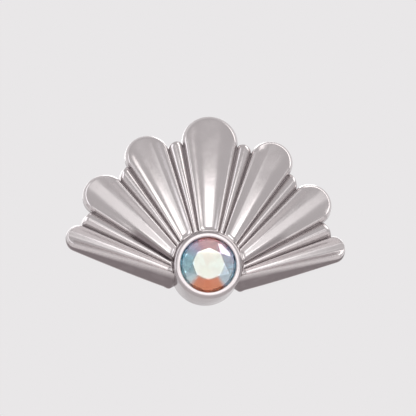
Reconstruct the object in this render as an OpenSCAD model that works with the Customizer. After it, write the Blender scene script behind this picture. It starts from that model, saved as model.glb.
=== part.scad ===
// Threaded piercing end: a cast fan of fluted petals with a bezel cup soldered into it, a round
// stone in the cup and a screw post behind it.
// X runs to the viewer's right, Z up, and Y along the post into the body, so the fan faces -Y.
// The origin is the centre of the collar's rear face: the bar butts there, and the skin lies there.
// The fan is worked out in polar terms about the point where all its ribs would meet,
// which lies below the centre of the stone. Angles run from straight up, in degrees.

/* [Fan] */
// Drop from the centre of the stone to the point where the ribs meet
meet_drop = 0.6; // [0.5:0.02:0.8]
// Thickness of the fan beside the cup
fan_hub_t = 1.3; // [1.1:0.05:1.5]
// Thickness of the fan at the tip of the middle petal
fan_tip_t = 0.5; // [0.4:0.05:0.7]
// How late the domed front falls away: 1 is a straight cone
dome_power = 1.4; // [1:0.1:2]
// Depth of a petal's hollow at its wide end
flute_depth = 0.18; // [0.1:0.02:0.24]
// How broad and flat the hollow's floor is: 1 is a plain wave
floor_power = 1.8; // [1:0.1:2.4]
// Depth of the grooves between petals and ribs, at their wide end
groove_depth = 0.2; // [0.1:0.02:0.26]
// Lean of the two lower side walls, outwards to the back
edge_lean = 16; // [0:1:18]
// Lean of the walls round the tips, outwards to the back
tip_lean = 6; // [0:1:12]

/* [Cup and stone] */
// Outside radius of the cup
cup_r = 1.15; // [1.1:0.05:1.2]
// Height of the cup from its back to its lip
cup_h = 1.7; // [1.7:0.05:1.9]
// Radius of the opening inside the lip
lip_r = 0.93; // [0.9:0.01:0.95]
// Radius of the stone at its girdle
stone_r = 1; // [0.98:0.01:1]
// Radius of the stone's table, to a corner
table_r = 0.54; // [0.5:0.01:0.62]
// Height of the stone's crown above its girdle
crown_h = 0.3; // [0.28:0.01:0.32]
// Depth of the stone's pavilion below its girdle
pavilion_h = 0.86; // [0.82:0.01:0.88]

/* [Post] */
// Radius of the collar, the same as the bar that it butts
collar_r = 0.8; // [0.75:0.05:1]
// Thickness of the collar
collar_t = 0.4; // [0.3:0.05:0.6]
// Radius of the plain neck
neck_r = 0.6; // [0.55:0.01:0.65]
// Length of the plain neck
neck_l = 0.5; // [0.4:0.05:0.8]
// Radius at the crests of the thread
thread_r = 0.59; // [0.54:0.01:0.6]
// Pitch of the thread
thread_pitch = 0.25; // [0.2:0.05:0.3]
// Full turns of the thread, without its run-out
thread_turns = 6; // [4:1:8]

/* [Hidden] */

// Clearance between pieces that meet
gap = 0.02;
// Height of the setting's flat back above the origin's plane
back_h = collar_t + gap;

// Petals and ribs of the right half, from the middle outwards, and mirrored to the left:
// [true for a petal, radius of its end, angle of its outer border]
features = [
    [true, 5.90, 10.8],
    [false, 5.05, 16.8],
    [true, 5.60, 34.2],
    [false, 4.80, 40.5],
    [true, 5.31, 58.2],
    [false, 4.66, 65.4],
    [true, 4.98, 74.6]
];
IS_PETAL = 0;
END_R = 1;
BORDER = 2;
last = len(features) - 1;

// Stations across half a petal, across half a rib, and from the hub to the outline
petal_steps = 8;
rib_steps = 3;
rows = 24;

// A petal's rim is highest at this share of its half-width
crest = sin(60);
// The hollow runs out through the petal's end, where the border falls this much less
tip_fall = 0.5;
// The hollows and grooves near the hub, as a share of their depth at the wide end
hub_relief = 0.55;
// A rib stands this much proud of the grooves' floor, as a share of the grooves' depth
rib_rise = 0.9;
// Fall of the envelope of the petals' ends, from the middle to a right angle
envelope_fall = 1.4;
// Width of the plain ring round the cup
hub_ring = 0.24;
// Width and depth of the rounding where the fan runs into the cup
seam_width = 0.14;
seam_depth = 0.12;
// Width and depth of the rounding at the ribs' ends
end_round = 0.12;

// The fan's inner wall lies this deep inside the cup's wall, at its front and at its back
seat_sink = 0.03;
seat_back_sink = 0.1;
seat_r = cup_r - seat_sink;
seat_back_r = cup_r - seat_back_sink;

// Angles of the two borders, of the middle and across half of feature k
function inner_border(k) = k == 0 ? -features[0][BORDER] : features[k - 1][BORDER];
function mid(k) = (inner_border(k) + features[k][BORDER]) / 2;
function half(k) = (features[k][BORDER] - inner_border(k)) / 2;

// A petal is a wedge that ends in a half round, which its straight sides touch.
// Distance of the half round's centre, and of the points where the sides touch it
function round_centre(k) = features[k][END_R] / (1 + sin(half(k)));
function shoulder(k) = round_centre(k) * cos(half(k));

// Radius of the outline at share t across feature k, from -1 to 1
function petal_outline(k, d) =
    round_centre(k) * (cos(d) + sqrt(max(0, pow(sin(half(k)), 2) - pow(sin(d), 2))));
function rib_outline(k, t) =
    let (low = shoulder(k - 1), high = shoulder(k + 1), middle = (low + high) / 2)
    middle + t * (high - low) / 2 + (features[k][END_R] - middle) * sqrt(1 - t * t);
function outline(k, t) =
    features[k][IS_PETAL] ? petal_outline(k, t * half(k)) : rib_outline(k, t);

// Radius at which the seat for the cup begins, at angle a
function hub(a) = meet_drop * cos(a) + sqrt(pow(seat_r, 2) - pow(meet_drop * sin(a), 2));

// Share of the way from the seat to the envelope of the petals' ends
function reach_share(a, r) =
    let (envelope = features[0][END_R] - envelope_fall * (1 - cos(a)))
    min(1, max(0, (r - hub(a)) / (envelope - hub(a))));

function smooth(x) = let (c = min(1, max(0, x))) c * c * (3 - 2 * c);

// Share of the way from a petal's shoulders to its tip, at angle d from its middle and radius r
function tip_share(k, d, r) =
    min(0.999, max(0, r * cos(d) - round_centre(k)) / (round_centre(k) * sin(half(k))));

// Place in a petal: 0 on its middle line and 1 on its border. The first kind is a share of the
// petal's width, and the second kind's rings of equal value run round the end as well
function width_place(k, d, r) =
    let (u = tip_share(k, d, r), wedge = u > 0 ? round_centre(k) : r * cos(d))
    min(1, abs(r * sin(d)) / (wedge * sin(half(k)) * sqrt(1 - u * u)));
function ring_place(k, d, r) =
    let (u = tip_share(k, d, r), wedge = u > 0 ? round_centre(k) : r * cos(d))
    min(1, norm([u, abs(r * sin(d)) / (wedge * sin(half(k)))]));

// Relief below the dome for a petal at angle d from its middle, and for a rib at share t and
// distance e from its end
function petal_relief(k, d, r) =
    let (
        u = smooth(tip_share(k, d, r)),
        hollow = (1 + cos(180 * pow(min(1, width_place(k, d, r) / crest), floor_power))) / 2,
        fall = 1 - cos(90 * max(0, ring_place(k, d, r) - crest) / (1 - crest))
    )
    -flute_depth * (hollow * (1 - u) + u) - groove_depth * fall * (1 - tip_fall * u);
function rib_relief(t, e) =
    -groove_depth * (1 - rib_rise * cos(90 * t)) - end_round * pow(max(0, 1 - e / end_round), 2) / 2;
function relief(k, t, r) =
    features[k][IS_PETAL] ? petal_relief(k, t * half(k), r) : rib_relief(t, outline(k, t) - r);

// Height of the front above the flat back, at share t across feature k and radius r
function front(k, t, r) =
    let (a = mid(k) + t * half(k), u = reach_share(a, r), in = r - hub(a))
    fan_hub_t - (fan_hub_t - fan_tip_t) * pow(u, dome_power)
        + relief(k, t, r) * smooth(in / hub_ring) * (hub_relief + (1 - hub_relief) * u)
        - seam_depth * pow(max(0, 1 - in / seam_width), 2);

// Point of the fan at angle a and radius r, seen from the front, and height h
function place(a, r, h) = [r * sin(a), r * cos(a) - meet_drop, h];

// Columns of the fan from its left edge to its right: [feature, share across it, side]
function shares(k) =
    let (n = features[k][IS_PETAL] ? petal_steps : rib_steps)
    [for (i = [(k == 0 ? 0 : -n):n - 1]) sin(90 * i / n)];
right_half = concat([for (k = [0:last], t = shares(k)) [k, t, 1]], [[last, 1, 1]]);
left_half = [for (i = [len(right_half) - 1:-1:1]) [right_half[i][0], right_half[i][1], -1]];
columns = concat(left_half, right_half);
end = len(columns) - 1;

// Radius of a column's row j, with the rows closest at both ends
function row_r(c, j) =
    let (a = mid(c[0]) + c[1] * half(c[0]), s = (1 - cos(180 * j / rows)) / 2)
    hub(a) + s * (outline(c[0], c[1]) - hub(a));
function angle(c) = c[2] * (mid(c[0]) + c[1] * half(c[0]));
function front_point(c, j) = place(angle(c), row_r(c, j), front(c[0], c[1], row_r(c, j)));

// Point at the back of a wall, behind column c's row j: the wall leans by lean towards angle b
function back_point(c, j, lean, b) =
    let (p = front_point(c, j), shift = p[2] * tan(lean))
    [p[0] + shift * sin(b), p[1] + shift * cos(b), 0];
// The walls lean straight out from the ribs' meeting point. Round the ends of the two outermost
// petals they turn to square off the lower edges
function outer_point(c) =
    let (
        d = c[1] * half(c[0]), r = outline(c[0], c[1]), turned = c[0] < last ? 0 : max(0, c[1]),
        b = mid(c[0]) + atan2(r * sin(d), r * cos(d) - round_centre(c[0]))
    )
    back_point(c, rows, tip_lean + (edge_lean - tip_lean) * turned, turned > 0 ? c[2] * b : angle(c));
// Point of the back moved to the foot of the fan's inner wall, inside the cup
function sunk(p) = [p[0], p[1], 0] * seat_back_r / norm([p[0], p[1]]);
function seat_point(c) = sunk(front_point(c, 0));
function edge_points(c) =
    [for (j = [0:rows], p = [back_point(c, j, edge_lean, angle(c) + 90 * c[2])]) j == 0 ? sunk(p) : p];

// All points: the front row by row, the back's inner and outer line, and its two lower edges
fan_points = concat(
    [for (c = columns, j = [0:rows]) front_point(c, j)],
    [for (i = [1:end - 1]) seat_point(columns[i])],
    [for (i = [1:end - 1]) outer_point(columns[i])],
    edge_points(columns[0]),
    edge_points(columns[end])
);
inner_line = (end + 1) * (rows + 1) - 1;
outer_line = inner_line + end - 1;
left_edge = outer_line + end;
right_edge = left_edge + rows + 1;
function f(i, j) = i * (rows + 1) + j;
function inner(i) = i == 0 ? left_edge : i == end ? right_edge : inner_line + i;
function outer(i) = i == 0 ? left_edge + rows : i == end ? right_edge + rows : outer_line + i;

fan_faces = concat(
    [for (i = [0:end - 1], j = [0:rows - 1]) [f(i, j), f(i, j + 1), f(i + 1, j + 1), f(i + 1, j)]],
    [for (i = [0:end - 1]) [f(i + 1, rows), f(i, rows), outer(i), outer(i + 1)]],
    [for (i = [0:end - 1]) [f(i, 0), f(i + 1, 0), inner(i + 1), inner(i)]],
    [for (i = [1:end - 2]) [inner(i), inner(i + 1), outer(i + 1), outer(i)]],
    [for (j = [0:rows - 1]) [f(0, j + 1), f(0, j), left_edge + j, left_edge + j + 1]],
    [for (j = [0:rows - 1]) [f(end, j), f(end, j + 1), right_edge + j + 1, right_edge + j]],
    [concat([inner(1), outer(1)], [for (j = [rows:-1:0]) left_edge + j])],
    [concat([inner(end - 1)], [for (j = [0:rows]) right_edge + j], [outer(end - 1)])]
);

// Cup: heights are from its back. The stone's girdle lies at seat_h, this far below the lip's top
seat_drop = 0.18;
seat_h = cup_h - seat_drop;
girdle_t = 0.05;
bore_r = stone_r + gap;
pocket_r = 0.8;
pocket_h = seat_h - girdle_t - gap;
floor_t = 0.15;
socket_r = 0.42;
socket_l = 0.34;
cup_foot = 0.06;
crown_slope = crown_h / (stone_r - table_r);
// Height of the lip's underside, which follows the crown at radius r
function lip_under(r) = seat_h + crown_slope * (stone_r - r) + 2 * gap;
// The lip is burnished round: a wide rounding outside and a smaller one over the stone
lip_t = cup_r - lip_r;
lip_round = 0.65 * lip_t;
lip_break = min(0.3 * lip_t, 0.5 * (cup_h - lip_under(lip_r)));
// Quarter and other arcs of n chords round [x, y]
function arc(x, y, r, from, to, n) =
    [for (i = [0:n]) let (a = from + (to - from) * i / n) [x + r * cos(a), y + r * sin(a)]];

// Stone: the star and lower corners are shares of its radius, as brilliants are cut, and lie on
// the main facets between their neighbours. Heights are from the girdle's top
main_half = cos(22.5);
star_r = 0.775 * stone_r;
star_h = crown_slope * (stone_r - star_r * main_half);
lower_r = 0.24 * stone_r;
lower_h = -girdle_t - pavilion_h * (1 - lower_r * main_half / stone_r);
// Ring of n corners at radius r and height h, the first at angle turn
function corners(n, r, h, turn) =
    [for (i = [0:n - 1]) [r * cos(turn + 360 * i / n), r * sin(turn + 360 * i / n), h]];
stone_points = concat(
    corners(8, table_r, crown_h, 0),
    corners(8, star_r, star_h, 22.5),
    corners(16, stone_r, 0, 0),
    corners(16, stone_r, -girdle_t, 0),
    corners(8, lower_r, lower_h, 22.5),
    [[0, 0, -girdle_t - pavilion_h]]
);
// First corner of each ring, counted round the ring
function table(i) = i % 8;
function star(i) = 8 + (i + 8) % 8;
function girdle(i) = 16 + (i + 16) % 16;
function belt(i) = 32 + (i + 16) % 16;
function lower(i) = 48 + (i + 8) % 8;
culet = 56;
// One eighth of the stone: a table edge's star, a crown main, two upper and two lower halves,
// two girdle faces and a pavilion main
stone_faces = concat(
    [[for (i = [7:-1:0]) table(i)]],
    [for (i = [0:7], face = [
        [table(i), table(i + 1), star(i)],
        [table(i), star(i), girdle(2 * i), star(i - 1)],
        [star(i), girdle(2 * i + 1), girdle(2 * i)],
        [star(i), girdle(2 * i + 2), girdle(2 * i + 1)],
        [girdle(2 * i), girdle(2 * i + 1), belt(2 * i + 1), belt(2 * i)],
        [girdle(2 * i + 1), girdle(2 * i + 2), belt(2 * i + 2), belt(2 * i + 1)],
        [belt(2 * i), belt(2 * i + 1), lower(i)],
        [belt(2 * i + 1), belt(2 * i + 2), lower(i)],
        [belt(2 * i), lower(i), culet, lower(i - 1)]
    ]) face]
);

// Thread: a 60 degree section, [share of the pitch, share of the depth], wound round the root
section = [[0, 0], [0.3125, 1], [0.4375, 1], [0.75, 0]];
thread_depth = 0.6134 * thread_pitch;
root_r = thread_r - thread_depth;
thread_relief = 0.05;
thread_from = neck_l + thread_relief;
thread_sides = 24;
tip_chamfer = 0.08;
post_end = thread_from + thread_pitch * (thread_turns + 1) + gap + tip_chamfer;
stations = len(section);
winds = stations * thread_turns;

// Corner of the thread in column i, station j, after w whole and part turns from its start.
// It grows over the first turn and dies out over the last
function thread_point(i, j) =
    let (
        turn = floor(j / stations), part = section[j % stations], w = turn + i / thread_sides,
        grown = min(1, max(0, min(w, thread_turns - w))),
        r = root_r + thread_depth * part[1] * grown, a = 360 * i / thread_sides
    )
    [r * cos(a), r * sin(a), thread_from + thread_pitch * (w + part[0])];
// Column 0 carries one turn more, because the last column winds on to it one pitch higher
thread_points = concat(
    [for (i = [0:thread_sides - 1], j = [0:winds + (i == 0 ? stations : 0)]) thread_point(i, j)],
    corners(thread_sides, root_r, neck_l / 2, 0),
    corners(thread_sides, root_r, post_end - tip_chamfer, 0),
    corners(thread_sides, root_r - tip_chamfer, post_end, 0)
);
side_end = thread_sides - 1;
function w(i, j) =
    i == thread_sides ? j + stations : i == 0 ? j : i * (winds + 1) + stations + j;
foot = thread_sides * (winds + 1) + stations;
function ring(n, i) = foot + n * thread_sides + i % thread_sides;
thread_faces = concat(
    [for (i = [0:side_end], j = [0:winds - 1]) [w(i, j + 1), w(i + 1, j + 1), w(i + 1, j), w(i, j)]],
    [for (i = [0:side_end - 1]) [w(i, 0), w(i + 1, 0), ring(0, i + 1), ring(0, i)]],
    [concat([ring(0, side_end), w(side_end, 0)], [for (j = [stations:-1:0]) w(0, j)], [ring(0, 0)])],
    [for (i = [1:side_end]) [ring(1, i), ring(1, i + 1), w(i + 1, winds), w(i, winds)]],
    [concat([w(1, winds)], [for (j = [0:stations]) w(0, winds + j)], [ring(1, 0), ring(1, 1)])],
    [for (i = [0:side_end]) [ring(2, i), ring(2, i + 1), ring(1, i + 1), ring(1, i)]],
    [[for (i = [0:side_end]) ring(0, i)]],
    [[for (i = [side_end:-1:0]) ring(2, i)]]
);
collar_edge = 0.05;
spigot_r = socket_r - gap;
spigot_l = socket_l - gap;

// Stands a piece on the setting's back plane, facing the viewer
module facing() {
    rotate([90, 0, 0]) translate([0, 0, back_h]) children();
}

// Cast fan: fluted petals, ribs between them, leaning walls and a flat back
module fan() {
    polyhedron(points = fan_points, faces = fan_faces, convexity = 10);
}

// Turned bezel cup: a blind socket in its foot, a pocket for the stone and a lip over its edge
module cup() {
    rotate_extrude($fn = 96) polygon(concat(
        [[0, socket_l], [socket_r, socket_l], [socket_r, 0], [cup_r - cup_foot, 0], [cup_r, cup_foot]],
        arc(cup_r - lip_round, cup_h - lip_round, lip_round, 0, 90, 6),
        arc(lip_r + lip_break, cup_h - lip_break, lip_break, 90, 180, 3),
        [[lip_r, lip_under(lip_r)], [bore_r, lip_under(bore_r)], [bore_r, pocket_h]],
        [[pocket_r, pocket_h - (bore_r - pocket_r) * pavilion_h / stone_r]],
        [[pocket_r, socket_l + floor_t], [0, socket_l + floor_t]]
    ));
}

// Setting: the fan and the cup, soldered into one
module fan_setting() {
    color("gainsboro") facing() {
        fan();
        cup();
    }
}

// Round brilliant: an octagonal table, crown, girdle and pavilion down to a point
module stone() {
    color("lightcyan") facing() translate([0, 0, seat_h])
        polyhedron(points = stone_points, faces = stone_faces);
}

// Turned post: a spigot into the cup, a collar, a plain neck and the screw thread
module threaded_post() {
    color("silver") rotate([-90, 0, 0]) union() {
        rotate_extrude($fn = 96) polygon([
            [0, -back_h - spigot_l], [spigot_r, -back_h - spigot_l], [spigot_r, -collar_t],
            [collar_r - collar_edge, -collar_t], [collar_r, collar_edge - collar_t],
            [collar_r, -collar_edge], [collar_r - collar_edge, 0],
            [neck_r, 0], [neck_r, neck_l], [0, neck_l]
        ]);
        polyhedron(points = thread_points, faces = thread_faces, convexity = 10);
    }
}

fan_setting();
stone();
threaded_post();
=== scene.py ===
"""Looks of a threaded piercing end: a petal-fan setting, a rainbow-coated stone and a screw post.

The sizes that the classes hold are millimetres and degrees, as a maker's drawing gives them, and
`make_piece` turns them into metres. The fan faces -Y, Z is up, and the post runs along +Y. A point
of a piece is worked out as (x, up, height): x and up about the centre of the stone, seen from the
front, and height towards the viewer from the setting's flat back.
"""

import logging
import math
from collections.abc import Sequence
from dataclasses import dataclass, field
from enum import Enum

import bmesh
import bpy
import numpy as np
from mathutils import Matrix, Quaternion, Vector

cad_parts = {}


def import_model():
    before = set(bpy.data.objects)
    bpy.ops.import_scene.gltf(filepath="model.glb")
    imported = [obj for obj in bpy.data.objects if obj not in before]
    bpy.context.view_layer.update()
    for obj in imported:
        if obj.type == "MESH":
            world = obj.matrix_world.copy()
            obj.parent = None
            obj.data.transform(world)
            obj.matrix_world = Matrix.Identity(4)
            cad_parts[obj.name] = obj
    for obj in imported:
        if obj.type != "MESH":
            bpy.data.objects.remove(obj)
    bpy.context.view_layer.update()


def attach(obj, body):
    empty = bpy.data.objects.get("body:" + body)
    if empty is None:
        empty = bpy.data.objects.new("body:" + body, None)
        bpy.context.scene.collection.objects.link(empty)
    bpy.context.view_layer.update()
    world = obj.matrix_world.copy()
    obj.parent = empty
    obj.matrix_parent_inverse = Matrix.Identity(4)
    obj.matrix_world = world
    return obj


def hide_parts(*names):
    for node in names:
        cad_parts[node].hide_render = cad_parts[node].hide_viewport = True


log = logging.getLogger("piercing_end")

MM = 0.001
BODY = "root"
# Vertices closer than this many metres are one: the seams and poles of the pieces
WELD = 1e-7
# How far the setting's flat back lies in front of the origin's plane, in millimetres
BACK_HEIGHT = 0.42
# How far the top of the stone's girdle lies above the setting's flat back, in millimetres
GIRDLE_HEIGHT = 1.52
# A sixteenth of a turn, in degrees: half the angle between two of the stone's main facets
SIXTEENTH = 22.5


def linear(colour: str) -> tuple[float, float, float, float]:
    """Turns an sRGB hex colour into linear light.

    Args:
        colour: Six hex digits.

    Returns:
        Linear red, green, blue and an alpha of 1.
    """
    srgb = np.array([int(colour[i : i + 2], 16) / 255 for i in (0, 2, 4)])
    light = np.where(srgb <= 0.04045, srgb / 12.92, ((srgb + 0.055) / 1.055) ** 2.4)
    return (*light.tolist(), 1.0)


def sind(degrees: np.ndarray | float) -> np.ndarray | float:
    """Sine of an angle in degrees."""
    return np.sin(np.radians(degrees))


def cosd(degrees: np.ndarray | float) -> np.ndarray | float:
    """Cosine of an angle in degrees."""
    return np.cos(np.radians(degrees))


def smooth(share: np.ndarray | float) -> np.ndarray | float:
    """Eases a share: three times its square less twice its cube, held between 0 and 1."""
    held = np.clip(share, 0, 1)
    return held * held * (3 - 2 * held)


def rise(value: np.ndarray, start: float, stretch: float) -> np.ndarray:
    """Eases from 0 at a starting value to 1 a stretch further on."""
    return smooth((value - start) / stretch)


def towards(azimuth: float, elevation: float) -> Vector:
    """Unit vector towards what stands at an azimuth (0 is -Y, 90 is +X) and an elevation."""
    level = cosd(elevation)
    return Vector((sind(azimuth) * level, -cosd(azimuth) * level, sind(elevation)))


@dataclass
class Patch:
    """A grid of points that makes one stretch of a surface.

    Attributes:
        points: Array of rows, columns and (x, up, height), in millimetres.
        recess: How much painted shade each point gets, and how dull and grainy its metal is out of
        the polishing wheel's reach, from 0 to 1, or one value for all. Patches that meet hold the
        same values along their common edge.
    """

    points: np.ndarray
    recess: np.ndarray | float = 0.0


@dataclass
class Facets:
    """Flat faces given by their corners.

    Attributes:
        corners: One array of corners for each face, in millimetres.
        finish: Place of the faces' finish in the piece's list of finishes.
        recess: How much painted shade the faces get, and how dull their metal is out of the
        polishing wheel's reach, from 0 to 1.
    """

    corners: list[np.ndarray]
    finish: int = 0
    recess: float = 0.0


def make_piece(
    name: str,
    patches: Sequence[Patch] = (),
    facets: Sequence[Facets] = (),
    back_height: float = 0.0,
    crease: float = 40.0,
) -> bpy.types.Object:
    """Joins patches and facets into one closed mesh in the shared frame, in metres.

    Every cell of a patch's grid becomes a quad. Points of neighbouring patches that meet are
    welded, which closes the seams and poles, and the faces are then turned outwards. A point
    (x, up, height) lands at x, minus the back's height and the point's own height, and up.

    Args:
        name: The piece's name.
        patches: Stretches of smooth surface.
        facets: Flat faces, which may carry finishes of their own.
        back_height: How far in front of the origin's plane height 0 lies, in millimetres.
        crease: Smooth shading is broken where faces meet at more than this angle.

    Returns:
        The new object, linked to the scene.
    """
    points: list[np.ndarray] = []
    recess: list[np.ndarray] = []
    faces: list[list[int]] = []
    finishes: list[int] = []
    count = 0
    for patch in patches:
        rows, columns = patch.points.shape[:2]
        index = count + np.arange(rows * columns).reshape(rows, columns)
        quads = np.stack([index[:-1, :-1], index[:-1, 1:], index[1:, 1:], index[1:, :-1]], axis=-1)
        faces += quads.reshape(-1, 4).tolist()
        finishes += [0] * quads[..., 0].size
        points.append(patch.points.reshape(-1, 3))
        recess.append(np.broadcast_to(patch.recess, (rows, columns)).ravel())
        count += rows * columns
    for group in facets:
        for corners in group.corners:
            faces.append(list(range(count, count + len(corners))))
            points.append(corners)
            recess.append(np.full(len(corners), group.recess))
            count += len(corners)
        finishes += [group.finish] * len(group.corners)

    plan = np.concatenate(points)
    placed = np.stack([plan[:, 0], -back_height - plan[:, 2], plan[:, 1]], axis=1) * MM
    mesh = bpy.data.meshes.new(name)
    mesh.from_pydata(placed, [], faces)
    layer = mesh.attributes.new("recess", "FLOAT", "POINT")
    layer.data.foreach_set("value", np.concatenate(recess).astype(np.float32))
    mesh.polygons.foreach_set("material_index", finishes)

    shell = bmesh.new()
    shell.from_mesh(mesh)
    bmesh.ops.remove_doubles(shell, verts=shell.verts, dist=WELD)
    bmesh.ops.dissolve_degenerate(shell, edges=shell.edges, dist=WELD)
    bmesh.ops.recalc_face_normals(shell, faces=shell.faces)
    open_edges = sum(not edge.is_manifold for edge in shell.edges)
    shell.to_mesh(mesh)
    shell.free()
    mesh.polygons.foreach_set("use_smooth", [True] * len(mesh.polygons))
    mesh.set_sharp_from_angle(angle=math.radians(crease))

    piece = bpy.data.objects.new(name, mesh)
    bpy.context.scene.collection.objects.link(piece)
    log.info("%s: %d faces, %d open edges", name, len(mesh.polygons), open_edges)
    return piece


def turned(profile: np.ndarray, sides: int) -> Patch:
    """Turns a profile round the stone's axis.

    A point at radius r and height h sweeps (r cos a, r sin a, h) while a goes once round.

    Args:
        profile: Array of (radius, height) along the profile.
        sides: Number of steps round the axis.

    Returns:
        A patch with a row for each point of the profile.
    """
    around = np.linspace(0, 360, sides + 1)
    radius, height = profile[:, :1], profile[:, 1:]
    return Patch(
        np.stack([radius * cosd(around), radius * sind(around), height + 0 * around], axis=-1)
    )


def rounded(corners: Sequence[tuple[float, float, float]], steps: int = 6) -> np.ndarray:
    """Rounds the corners of a profile.

    At each corner a quadratic curve runs from one point at the corner's own distance along the line
    before it, by way of the corner, to the point at the same distance along the line after it.

    Args:
        corners: (radius, height, distance) for each corner; a distance of 0 keeps it sharp.
        steps: Chords in each rounding.

    Returns:
        Array of (radius, height) along the rounded profile.
    """
    line = [np.array(corners[0][:2])]
    share = np.linspace(0, 1, steps + 1)[:, None]
    for before, corner, after in zip(corners, corners[1:], corners[2:]):
        here = np.array(corner[:2])
        back, on = np.array(before[:2]) - here, np.array(after[:2]) - here
        start = here + back * corner[2] / np.hypot(*back)
        finish = here + on * corner[2] / np.hypot(*on)
        curve = (1 - share) ** 2 * start + 2 * share * (1 - share) * here + share**2 * finish
        line += list(curve) if corner[2] else [here]
    return np.array([*line, corners[-1][:2]])


def add_node(
    tree: bpy.types.NodeTree,
    kind: str,
    inputs: dict[str | int, object] | None = None,
    **settings: object,
) -> bpy.types.Node:
    """Adds a node with its settings and links.

    Args:
        tree: The node tree to add to.
        kind: The node's type name.
        inputs: Value, or output socket to link from, for each input by name or number.
        **settings: The node's own properties.

    Returns:
        The new node.
    """
    node = tree.nodes.new(kind)
    for name, value in settings.items():
        setattr(node, name, value)
    for name, value in (inputs or {}).items():
        if isinstance(value, bpy.types.NodeSocket):
            tree.links.new(value, node.inputs[name])
        else:
            node.inputs[name].default_value = value
    return node


def set_ramp(node: bpy.types.Node, stops: Sequence[tuple[float, str]]) -> None:
    """Gives a colour ramp its stops.

    Args:
        node: The ramp.
        stops: (place from 0 to 1, sRGB hex colour) for each stop, in order.
    """
    ramp = node.color_ramp.elements
    while len(ramp) < len(stops):
        ramp.new(1.0)
    for element, (place, colour) in zip(ramp, stops):
        element.position = place
        element.color = linear(colour)


def new_material(name: str) -> tuple[bpy.types.Material, bpy.types.NodeTree]:
    """Makes an empty node material.

    Args:
        name: The material's name.

    Returns:
        The material and its node tree.
    """
    material = bpy.data.materials.new(name)
    material.use_nodes = True
    material.node_tree.nodes.clear()
    return material, material.node_tree


def per_mm(size: float) -> float:
    """Texture scale at which one feature of the pattern is this many millimetres across."""
    return 1 / (size * MM)


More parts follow.
